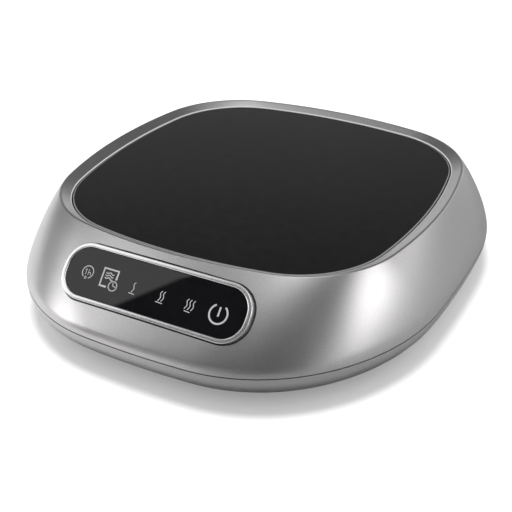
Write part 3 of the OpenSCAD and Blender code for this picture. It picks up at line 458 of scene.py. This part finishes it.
outer = [wall(1 - i / WALL_STEPS) for i in range(WALL_STEPS + 1)]
inner = [wall(INNER_START + (1 - INNER_START) * i / INNER_STEPS, SKIN) for i in range(INNER_STEPS + 1)]
foot = [(SEAM_OUT, 1, SEAM_TOP)]
band_and_well = [(RIDGE_IN, 0, TOP), (0, WELL, GLASS_TOP), (0, WELL, LEDGE_TOP)]
ledge = [(LEDGE_IN, WELL, LEDGE_TOP), (LEDGE_IN, WELL, LEDGE_LOW)]
behind_well = [(INNER_OUT, WELL, LEDGE_LOW), (INNER_OUT, WELL, INNER_TOP)]
bm = bmesh.new()
rings = stack(bm, foot + outer + band_and_well + ledge + behind_well + inner + [(FOOT_IN, 1, SEAM_TOP)])
top = len(foot) + WALL_STEPS
ridge = edges_of(rings[top]) + edges_of(rings[top + 1])
lip, seam_edge, crease = edges_of(rings[top + 2]), edges_of(rings[0]), edges_of(rings[1])
close(bm, rings, loop=True)
soften(bm, ridge, width=0.33, segments=3)
# The lip's round is marked for a painted highlight.
mark(bm, soften(bm, lip, width=0.35, segments=2))
soften(bm, crease, width=1.2, segments=4)
soften(bm, seam_edge, width=0.25, segments=2)
upper_shell = piece_from(bm, "upper_shell")
print("upper shell of", len(rings), "rings,", len(upper_shell.data.polygons), "faces")

# %% [markdown]
# The opening for the touch panel, its bezel and its lens share one outline: a pill that lies on the
# slope. It is drawn flat, in the panel's own millimetres, with 0 at the height of the lens, and one
# matrix later turns each piece of the panel onto the wall.

# %% Outline and place of the panel
PANEL = Matrix.Translation((0, -80.46, 30.51)) @ Matrix.Rotation(math.radians(45.9), 4, "X")
PANEL_LENGTH, PANEL_HEIGHT, PANEL_CORNER = 72.3, 20.4, 9.2

def pill(length, height, r, steps=16):
    """Points round a rectangle with round corners, in order, for a ring."""
    points = []
    for k, (x, y) in enumerate(((1, 1), (-1, 1), (-1, -1), (1, -1))):
        for i in range(steps + 1):
            g = math.pi / 2 * (k + i / steps)
            points.append((x * (length / 2 - r) + r * math.cos(g),
                           y * (height / 2 - r) + r * math.sin(g)))
    return points

def panel_ring(grow, _):
    """The panel's outline, grown by some millimetres all round."""
    return pill(PANEL_LENGTH + 2 * grow, PANEL_HEIGHT + 2 * grow, PANEL_CORNER + grow)

def panel_stack(levels):
    """A bmesh of rings round the panel, each level (grow, z) in the panel's own millimetres."""
    bm = bmesh.new()
    return bm, stack(bm, [(grow, 0, z) for grow, z in levels], shape=panel_ring)

panel_points = panel_ring(0, 0)
print("panel outline of", len(panel_points), "points, centred at", PANEL.translation[:])

# %% [markdown]
# The housing is open at the panel, and where the mains inlet looks out at the back. Holes through a
# curved wall don't follow its rings, so they are cut with exact Booleans: a pill on the slope for the
# panel, and a box for the inlet. The cutters are deleted afterwards.

# %% Panel opening and inlet window
PANEL_GAP = 0.5
OPENING_LOW, OPENING_HIGH = -6, 8
WINDOW = ((-12.6, 12.6), (68.5, 110), (18.6, 30.6))

def block(x, y, z):
    """A box for cutting, between two ends along each axis."""
    bm = bmesh.new()
    bmesh.ops.create_cube(bm, size=1)
    size = Matrix.Diagonal((x[1] - x[0], y[1] - y[0], z[1] - z[0], 1))
    middle = Matrix.Translation(((x[0] + x[1]) / 2, (y[0] + y[1]) / 2, (z[0] + z[1]) / 2))
    return piece_from(bm, "cutter", middle @ size)

def cut(piece, cutters):
    """Takes the cutters away from the piece with exact Booleans, and keeps the result."""
    for i, cutter in enumerate(cutters):
        modifier = piece.modifiers.new("cut_%d" % i, "BOOLEAN")
        modifier.object, modifier.operation, modifier.solver = cutter, "DIFFERENCE", "EXACT"
    bpy.context.view_layer.update()
    result = piece.evaluated_get(bpy.context.evaluated_depsgraph_get())
    whole, piece_mesh = piece.data, bpy.data.meshes.new_from_object(result)
    piece.modifiers.clear()
    piece.data = piece_mesh
    bpy.data.meshes.remove(whole)
    for cutter in cutters:
        bpy.data.objects.remove(cutter)
    print(piece.name, "cut by", len(cutters), "->", len(piece.data.polygons), "faces")

bm, rings = panel_stack([(PANEL_GAP, OPENING_LOW), (PANEL_GAP, OPENING_HIGH)])
close(bm, rings, loop=False)
opening = piece_from(bm, "cutter", PANEL)
cut(upper_shell, [opening, block(*WINDOW)])
smooth_shell(upper_shell)
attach(upper_shell, "warmer")
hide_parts("upper_housing")

# %% [markdown]
# The lower housing is a shallow bowl whose side is a quarter of an ellipse. The same rings make it,
# outside up and inside down, with a rim between them that enters the upper housing.

# %% Lower housing
BOWL_STEPS = 10
FLOOR_OUT, FLOOR_LOW, FLOOR_TOP = 0.3, 2, 4.2
SEAM_LOW, RIM_TOP, RIM_OUT, RIM_IN, BOWL_TOP = 14.45, 16.1, 12.2, 11, 13.45

def bowl(out_top, z_top, z_low):
    """Levels down the quarter ellipse, from its top edge."""
    turns = [math.pi / 2 * i / BOWL_STEPS for i in range(BOWL_STEPS + 1)]
    return [(FLOOR_OUT + (out_top - FLOOR_OUT) * math.cos(g), 1,
             z_top - (z_top - z_low) * math.sin(g)) for g in turns]

outside = bowl(SEAM_OUT, SEAM_LOW, FLOOR_LOW)[::-1]
rim = [(RIM_OUT, 1, SEAM_LOW), (RIM_OUT, 1, RIM_TOP), (RIM_IN, 1, RIM_TOP)]
bm = bmesh.new()
rings = stack(bm, outside + rim + bowl(RIM_IN, BOWL_TOP, FLOOR_TOP))
seam_edge = edges_of(rings[BOWL_STEPS])
close(bm, rings, loop=False)
soften(bm, seam_edge, width=0.25, segments=2)
lower_shell = piece_from(bm, "lower_shell")
print("lower shell of", len(rings), "rings")

# %% [markdown]
# The bowl's floor has slots for air, deep holes for the screws, and shallow seats for the feet and
# the rating plate. They are cut afterwards too, because holes in a flat floor don't follow the rings.

# %% Slots, holes and seats in the floor
UNDER = 1
SLOTS, SLOT_PITCH, SLOT_HALF, SLOT_ENDS, SLOT_TOP = range(-4, 5), 7, 1.1, (-18, 6), 5.5
SCREW_X, SCREW_Y, SCREW_R, SCREW_TOP = 61, 30, 3.2, 7
PAD_X, PAD_Y, PAD_R, PAD_TOP = 44, 52, 8.1, 3
PLATE = ((-26.1, 26.1), (17.9, 44.1), (UNDER, 2.5))

def drum(x, y, r, z):
    """An upright cylinder for cutting, between two heights."""
    bm = bmesh.new()
    bmesh.ops.create_cone(bm, cap_ends=True, segments=48, radius1=r, radius2=r, depth=z[1] - z[0])
    return piece_from(bm, "cutter", Matrix.Translation((x, y, (z[0] + z[1]) / 2)))

cutters = [block((SLOT_PITCH * i - SLOT_HALF, SLOT_PITCH * i + SLOT_HALF), SLOT_ENDS,
                 (UNDER, SLOT_TOP)) for i in SLOTS]
for x in (-1, 1):
    for y in (-1, 1):
        cutters.append(drum(SCREW_X * x, SCREW_Y * y, SCREW_R, (UNDER, SCREW_TOP)))
        cutters.append(drum(PAD_X * x, PAD_Y * y, PAD_R, (UNDER, PAD_TOP)))
cutters.append(block(*PLATE))
cut(lower_shell, cutters)
smooth_shell(lower_shell)
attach(lower_shell, "warmer")
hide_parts("lower_housing")

# %% [markdown]
# The hot plate is one slab of black glass, flat on top, with a fine bevelled edge. That edge catches
# light as a grey line round the plate, so the slab gets a small bevel with a painted highlight: the
# bevel is painted a pale grey, paler than the rest of the glass.

# %% Glass plate
GLASS_OUT, GLASS_LOW = -0.4, 34.3
bm = bmesh.new()
rings = stack(bm, [(GLASS_OUT, WELL, GLASS_LOW), (GLASS_OUT, WELL, GLASS_TOP)])
top_edge = edges_of(rings[1])
close(bm, rings, loop=False)
# The bevel of the top edge is marked for a painted highlight.
mark(bm, soften(bm, top_edge, width=0.5, segments=2))
glass_top = piece_from(bm, "glass_top")
smooth_shell(glass_top)
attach(glass_top, "warmer")
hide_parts("glass_plate")

# %% [markdown]
# The bright bezel is a plated ring around the panel, made of four rings that close into a loop. Its
# two upper edges are well rounded, as on any plated ring, so that lines of light run along it.

# %% Bezel
BEZEL_LOW, BEZEL_TOP, BEZEL_IN = -3, 0.5, -1.6
bm, rings = panel_stack([(0, BEZEL_LOW), (0, BEZEL_TOP), (BEZEL_IN, BEZEL_TOP), (BEZEL_IN, BEZEL_LOW)])
top_edges = edges_of(rings[1]) + edges_of(rings[2])
close(bm, rings, loop=True)
soften(bm, top_edges, width=0.38, segments=4)
bezel = piece_from(bm, "bezel", PANEL)
smooth_shell(bezel)
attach(bezel, "warmer")
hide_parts("control_bezel")

# %% [markdown]
# The smoked lens fills the bezel with a hair of play. It is a flat plate, polished on top, with just
# enough of a bevel to keep its edge from looking like a razor.

# %% Lens
LENS_LOW, LENS_TOP, LENS_IN = -1.6, 0, -1.65
bm, rings = panel_stack([(LENS_IN, LENS_LOW), (LENS_IN, LENS_TOP)])
top_edge = edges_of(rings[1])
close(bm, rings, loop=False)
soften(bm, top_edge, width=0.12, segments=2)
lens = piece_from(bm, "lens", PANEL)
smooth_shell(lens)
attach(lens, "warmer")
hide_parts("control_lens")

# %% [markdown]
# The signs on the lens are printed in pale ink: one hour, a preset, three levels of heat with one to
# three wisps of steam, and power. A sign is a few strokes of a pen, and a curve with a round bevel is
# just that. Each pen's width has its list of strokes, and each stroke its points, in the panel's own
# millimetres.

# %% Strokes of the printed signs
WISP_HEIGHT, WISP_LEAN, WISP_SWING = 3.5, 0.73, 0.34
WAVE_DIP = 0.26
CURVE_STEPS = [i / 16 for i in range(17)]

def arc(x, y, r, start, end, steps=32):
    """Points along an arc, angles in degrees."""
    turns = [math.radians(start + (end - start) * i / steps) for i in range(steps + 1)]
    return [(x + r * math.cos(g), y + r * math.sin(g)) for g in turns]

def wisp(x, y):
    """A wisp of steam, drawn upwards and leaning right."""
    return [(x + WISP_LEAN * t + WISP_SWING * math.sin(2 * math.pi * t ** 1.2), y + WISP_HEIGHT * t)
            for t in CURVE_STEPS]

def wave(x, y, length, drop):
    """A wave that dips, crests and dips again on its way right."""
    return [(x + length * t, y - drop * t - WAVE_DIP * math.sin(3 * math.pi * t))
            for t in CURVE_STEPS]

strokes = {
    # The letters of the hour, and the small circle under them.
    0.22: [arc(-26.6, -2.1, 0.38, 0, 360),
           [(-27.0, 0.95), (-27.0, -1.05)], [(-27.5, 0.45), (-27.0, 0.9)],
           [(-26.05, 0.95), (-26.05, -1.05)],
           arc(-25.55, -0.55, 0.5, 180, 0, 12) + [(-25.05, -1.05)]],
    # The ring round the hour, then the preset's clock with its hands and its three waves.
    0.34: [arc(-26.3, -0.1, 2.15, -69, 234.5),
           arc(-15.25, -2.38, 1.62, 0, 360), [(-15.44, -1.18), (-15.28, -2.21), (-13.98, -2.51)],
           wave(-19.3, 1.62, 3.25, 0.2), wave(-19.3, 0.8, 3.25, 0.3), wave(-19.3, -0.08, 3.2, 0.35)],
    # The three levels of heat, each with its wisps over a line.
    0.31: [wisp(-7.78, -2.41), [(-8.7, -2.8), (-6.45, -2.94)],
           wisp(2.75, -2.6), wisp(3.9, -2.6), [(2.05, -3.02), (4.65, -3.15)],
           wisp(12.88, -2.55), wisp(14.07, -2.65), wisp(15.33, -2.7), [(13.05, -3.18), (15.27, -3.33)]],
    # The frame of the preset, open where its clock sits.
    0.75: [[(-17.6, -3.2), (-20.3, -3.2), (-20.45, 2.95), (-14.73, 2.95), (-14.73, -0.15)]],
    # Power.
    0.62: [arc(25.1, -1.1, 3.2, 120, 416), [(25.17, 1.3), (25.17, -1.9)]],
}
print("strokes:", {width: len(lines) for width, lines in strokes.items()})

# %% [markdown]
# All strokes of one pen make one piece. The curve is turned into a mesh, pressed to the thickness of
# a coat of ink, and only then laid on the slope, so that it is flat in the direction of the lens.

# %% Printed signs
INK = 0.1

def pen_strokes(name, width, lines):
    """A mesh on the panel of strokes drawn with a round pen, pressed nearly flat."""
    curve = bpy.data.curves.new(name, "CURVE")
    curve.dimensions = "3D"
    curve.bevel_depth = width / 2
    curve.bevel_resolution = 3
    curve.use_fill_caps = True
    for line in lines:
        spline = curve.splines.new("POLY")
        spline.points.add(len(line) - 1)
        for point, (x, y) in zip(spline.points, line):
            point.co = (x, y, 0, 1)
    drawn = add_object(name, curve)
    bpy.context.view_layer.update()
    result = drawn.evaluated_get(bpy.context.evaluated_depsgraph_get())
    mesh = bpy.data.meshes.new_from_object(result)
    bpy.data.objects.remove(drawn)
    bm = bmesh.new()
    bm.from_mesh(mesh)
    bpy.data.meshes.remove(mesh)
    bmesh.ops.scale(bm, vec=(1, 1, INK / width), verts=bm.verts)
    bmesh.ops.translate(bm, vec=(0, 0, INK / 2), verts=bm.verts)
    return piece_from(bm, name, PANEL)

signs = []
for width, lines in strokes.items():
    sign = pen_strokes("panel_signs_%02d" % round(width * 100), width, lines)
    smooth(sign, 60)
    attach(sign, "warmer")
    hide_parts("control_symbols")
    signs.append(sign)
print("signs:", sum(len(sign.data.polygons) for sign in signs), "faces")

# %% [markdown]
# Moulded and painted surfaces are never quite even. One shader group gives all of them that: two
# noises, a fine grain and a broad drift, mix two colours and two roughnesses and raise a small bump.
# Each material puts the group to work with its own sizes.

# %% Shader group: surface grain
def noise(tree, vector, scale, detail):
    """The value of a noise, about 0.5 on average."""
    return node(tree, "ShaderNodeTexNoise", {"Vector": vector, "Scale": scale, "Detail": detail,
                "Roughness": 0.55}).outputs["Fac"]

def mix_colour(tree, share, a, b):
    """One colour between two."""
    made = node(tree, "ShaderNodeMix", data_type="RGBA")
    for key, value in (("Factor_Float", share), ("A_Color", a), ("B_Color", b)):
        target = next(s for s in made.inputs if s.identifier == key)
        if isinstance(value, bpy.types.NodeSocket):
            tree.links.new(value, target)
        else:
            target.default_value = value
    return next(s for s in made.outputs if s.identifier == "Result_Color")

grain = bpy.data.node_groups.new("surface_grain", "ShaderNodeTree")
inside, outside = grain.nodes.new("NodeGroupInput"), grain.nodes.new("NodeGroupOutput")
for way, name, kind in (("INPUT", "Vector", "Vector"), ("INPUT", "Fine", "Float"),
                        ("INPUT", "Broad", "Float"), ("INPUT", "Colour A", "Color"),
                        ("INPUT", "Colour B", "Color"), ("INPUT", "Rough A", "Float"),
                        ("INPUT", "Rough B", "Float"), ("OUTPUT", "Colour", "Color"),
                        ("OUTPUT", "Roughness", "Float"), ("OUTPUT", "Height", "Float")):
    grain.interface.new_socket(name=name, in_out=way, socket_type="NodeSocket" + kind)

# Six tenths of the mix is fine grain, and four tenths are the broad drift.
given = inside.outputs
fine = noise(grain, given["Vector"], given["Fine"], 2.0)
broad = noise(grain, given["Vector"], given["Broad"], 4.0)
both = math_node(grain, "MULTIPLY_ADD", fine, 0.6, math_node(grain, "MULTIPLY", broad, 0.4))
share = ramp(grain, both, 0.3, 0.7)
colour = mix_colour(grain, share, given["Colour A"], given["Colour B"])
between = math_node(grain, "SUBTRACT", given["Rough B"], given["Rough A"])
roughness = math_node(grain, "MULTIPLY_ADD", share, between, given["Rough A"])
for name, value in (("Colour", colour), ("Roughness", roughness), ("Height", fine)):
    grain.links.new(value, outside.inputs[name])
print("group", grain.name, "with", len(grain.nodes), "nodes")

# %% [markdown]
# A finish is a Principled shader fed by the grain. The grain reads Object coordinates, so that it
# stays on the piece, and a Mapping node stretches it, which also makes brushed metal. Where edges are
# marked for a painted highlight, the finish turns to a plain pale grey that isn't metallic, so that
# it paints a thin even line of light along them.

# %% A finish made with the grain
def finish(name, colours, rough, fine=900.0, broad=25.0, stretch=(1, 1, 1), bump=0.05, depth=0.05,
           bare=None, **shader):
    """A material with two colours and two roughnesses. Fine and broad are grains per metre, bump is a
    strength, depth its height in millimetres, and the last is the grey of a painted highlight on marked
    faces."""
    paint = bpy.data.materials.new(name)
    tree = blank_tree(paint)
    place = node(tree, "ShaderNodeTexCoord").outputs["Object"]
    spread = node(tree, "ShaderNodeMapping", {"Vector": place, "Scale": stretch}).outputs[0]
    work = node(tree, "ShaderNodeGroup", node_tree=grain)
    tree.links.new(spread, work.inputs["Vector"])
    for key, value in (("Fine", fine), ("Broad", broad), ("Colour A", (*colours[0], 1)),
                       ("Colour B", (*colours[1], 1)), ("Rough A", rough[0]), ("Rough B", rough[1])):
        work.inputs[key].default_value = value
    raised = node(tree, "ShaderNodeBump", {"Height": work.outputs["Height"], "Strength": bump,
                  "Distance": depth * MM})
    body = node(tree, "ShaderNodeBsdfPrincipled", {"Base Color": work.outputs["Colour"],
                "Roughness": work.outputs["Roughness"], "Normal": raised.outputs[0]})
    for key, value in shader.items():
        body.inputs[key.replace("_", " ")].default_value = value
    # Marked faces get a painted highlight: a plain pale grey that isn't metallic.
    if bare:
        mask = node(tree, "ShaderNodeAttribute", attribute_type="GEOMETRY",
                    attribute_name="bare").outputs["Fac"]
        metallic = shader["Metallic"]
        tree.links.new(mix_colour(tree, mask, work.outputs["Colour"], (bare, bare, bare, 1)),
                       body.inputs["Base Color"])
        tree.links.new(math_node(tree, "MULTIPLY_ADD", mask, -metallic, metallic),
                       body.inputs["Metallic"])
    node(tree, "ShaderNodeOutputMaterial", {"Surface": body.outputs[0]})
    return paint

print("helper ready: finish")

# %% [markdown]
# The housing's paint is a fine silver flake under no lacquer, so it is satin: light spreads over it,
# and the wall turns from nearly white to nearly black as it curves. Metallic is high, and the
# roughness sits in the middle. The flakes are finer than half a millimetre, so they only just
# speckle it. The other finishes of the outside are smooth glass, plated metal, ink, rubber and plastic.

# %% Finishes of the outside
OUTSIDE = {
    "silver_paint": dict(
        colours=((0.55, 0.54, 0.55), (0.65, 0.64, 0.645)), rough=(0.30, 0.38),
        # The lip's marked round gets a painted highlight in a plain grey.
        fine=2400, broad=18, bump=0.5, depth=0.04, bare=0.62, Metallic=0.92),
    "black_glass": dict(
        colours=((0.008, 0.008, 0.0085), (0.011, 0.011, 0.0115)), rough=(0.05, 0.075),
        # The glass's marked edge gets a painted highlight in a plain grey.
        fine=240, broad=12, bump=0.0, bare=0.22, Metallic=0.0, IOR=1.5),
    "smoked_lens": dict(
        colours=((0.004, 0.004, 0.0045), (0.006, 0.0055, 0.0065)), rough=(0.0, 0.01),
        fine=240, broad=30, bump=0.0, Metallic=0.0, IOR=1.5),
    "bright_chrome": dict(
        colours=((0.86, 0.86, 0.87), (0.90, 0.90, 0.91)), rough=(0.14, 0.18),
        fine=600, broad=40, bump=0.0, depth=0.01, Metallic=0.88),
    "symbol_ink": dict(
        colours=((0.38, 0.38, 0.39), (0.44, 0.44, 0.45)), rough=(0.45, 0.55),
        fine=4000, broad=200, bump=0.05, depth=0.01),
    "black_rubber": dict(
        colours=((0.018, 0.018, 0.018), (0.03, 0.03, 0.03)), rough=(0.6, 0.75),
        fine=1500, broad=60, bump=0.3, depth=0.05),
    "black_plastic": dict(
        colours=((0.022, 0.022, 0.023), (0.032, 0.032, 0.033)), rough=(0.4, 0.5),
        fine=1800, broad=60, bump=0.25, depth=0.03),
}
FINISHES = {name: finish(name, **look) for name, look in OUTSIDE.items()}
print("outside finishes:", ", ".join(FINISHES))

# %% [markdown]
# The metal parts of the inside are seen only when the housing is taken off, but a repairer would
# expect each to look like itself. Each finish is again the grain with its own numbers, and a stretch
# along one axis gives rolled or drawn metal its lines.

# %% Metals of the inside
METALS = {
    "bare_aluminium": dict(
        colours=((0.72, 0.73, 0.74), (0.82, 0.82, 0.83)), rough=(0.25, 0.42),
        fine=700, stretch=(0.06, 1, 1), bump=0.1),
    "zinc_steel": dict(
        colours=((0.55, 0.57, 0.6), (0.68, 0.69, 0.7)), rough=(0.3, 0.45),
        fine=260, broad=45, bump=0.05),
    "screw_steel": dict(
        colours=((0.5, 0.5, 0.52), (0.66, 0.66, 0.68)), rough=(0.28, 0.42), fine=1500, bump=0.1),
    "spring_brass": dict(
        colours=((0.7, 0.5, 0.24), (0.78, 0.6, 0.32)), rough=(0.25, 0.4),
        fine=900, stretch=(0.1, 1, 1), bump=0.08),
    "pin_brass": dict(
        colours=((0.74, 0.62, 0.38), (0.82, 0.72, 0.5)), rough=(0.2, 0.34),
        fine=1200, stretch=(1, 0.08, 1), bump=0.08),
    "spring_steel": dict(
        colours=((0.6, 0.58, 0.5), (0.72, 0.7, 0.6)), rough=(0.2, 0.35), fine=2000, bump=0.05),
}
FINISHES.update({name: finish(name, Metallic=1.0, **look) for name, look in METALS.items()})
print("metals:", ", ".join(METALS))

# %% [markdown]
# The rest of the inside is ceramic, mica, fibre, plastic and varnish. A coarse grain gives ceramic
# and glass fibre their body, and a clear coat lies over the board's lacquer, the capacitors' sleeves
# and the fuse's glass.

# %% Other finishes of the inside
OTHERS = {
    "mica": dict(
        colours=((0.45, 0.36, 0.26), (0.62, 0.53, 0.4)), rough=(0.3, 0.5),
        fine=500, broad=90, bump=0.2, depth=0.1),
    "glass_fibre": dict(
        colours=((0.7, 0.69, 0.64), (0.86, 0.85, 0.8)), rough=(0.85, 0.95),
        fine=900, broad=120, bump=0.7, depth=0.3),
    "ceramic_body": dict(
        colours=((0.78, 0.75, 0.68), (0.85, 0.83, 0.77)), rough=(0.5, 0.65), fine=1600, bump=0.25),
    "board_green": dict(
        colours=((0.02, 0.13, 0.06), (0.035, 0.2, 0.09)), rough=(0.3, 0.45),
        fine=500, broad=220, bump=0.15, Coat_Weight=0.3),
    "lamp_resin": dict(
        colours=((0.85, 0.8, 0.5), (0.92, 0.88, 0.62)), rough=(0.25, 0.35), fine=2000, bump=0.05),
    "ribbon_grey": dict(
        colours=((0.42, 0.43, 0.45), (0.55, 0.56, 0.58)), rough=(0.4, 0.5),
        fine=800, stretch=(1, 0.05, 0.05), bump=0.4, depth=0.15),
    "transformer_dark": dict(
        colours=((0.06, 0.055, 0.05), (0.1, 0.09, 0.08)), rough=(0.45, 0.6),
        fine=1500, stretch=(0.04, 0.04, 1), bump=0.4, depth=0.1),
    "relay_blue": dict(
        colours=((0.02, 0.09, 0.3), (0.035, 0.13, 0.38)), rough=(0.35, 0.45), fine=1400, bump=0.15),
    "capacitor_sleeve": dict(
        colours=((0.03, 0.05, 0.12), (0.05, 0.07, 0.16)), rough=(0.3, 0.4),
        fine=900, bump=0.1, Coat_Weight=0.2),
    "fuse_glass": dict(
        colours=((0.75, 0.78, 0.78), (0.85, 0.87, 0.87)), rough=(0.08, 0.14),
        fine=500, bump=0.02, Coat_Weight=0.5),
    "connector_green": dict(
        colours=((0.03, 0.28, 0.12), (0.05, 0.36, 0.16)), rough=(0.4, 0.5), fine=1500, bump=0.2),
    "lead_brown": dict(
        colours=((0.16, 0.075, 0.04), (0.22, 0.11, 0.06)), rough=(0.4, 0.5), fine=1500, bump=0.15),
    "lead_white": dict(
        colours=((0.72, 0.7, 0.66), (0.82, 0.8, 0.76)), rough=(0.5, 0.65),
        fine=1800, bump=0.4, depth=0.1),
    "lead_red": dict(
        colours=((0.42, 0.03, 0.025), (0.55, 0.05, 0.04)), rough=(0.35, 0.45), fine=1500, bump=0.1),
}
FINISHES.update({name: finish(name, **look) for name, look in OTHERS.items()})
print(len(FINISHES), "finishes in all")

# %% [markdown]
# Every piece wears one finish. The new pieces get theirs by name. A CAD node's finish is the one its
# record names as its material, so a node that moves or changes shape still looks right.

# %% Put the finishes on
def wear(piece, finish_name):
    """Makes a finish the piece's only material."""
    piece.data.materials.clear()
    piece.data.materials.append(FINISHES[finish_name])

for shell in (upper_shell, lower_shell):
    wear(shell, "silver_paint")
wear(glass_top, "black_glass")
wear(bezel, "bright_chrome")
wear(lens, "smoked_lens")
for sign in signs:
    wear(sign, "symbol_ink")
SLOT_OF = {part["node"]: part["material_slot"] for part in frame["record"]["subparts"]}
for name, part in frame["nodes"].items():
    wear(part, SLOT_OF[name])
print("nodes finished:", len(SLOT_OF))
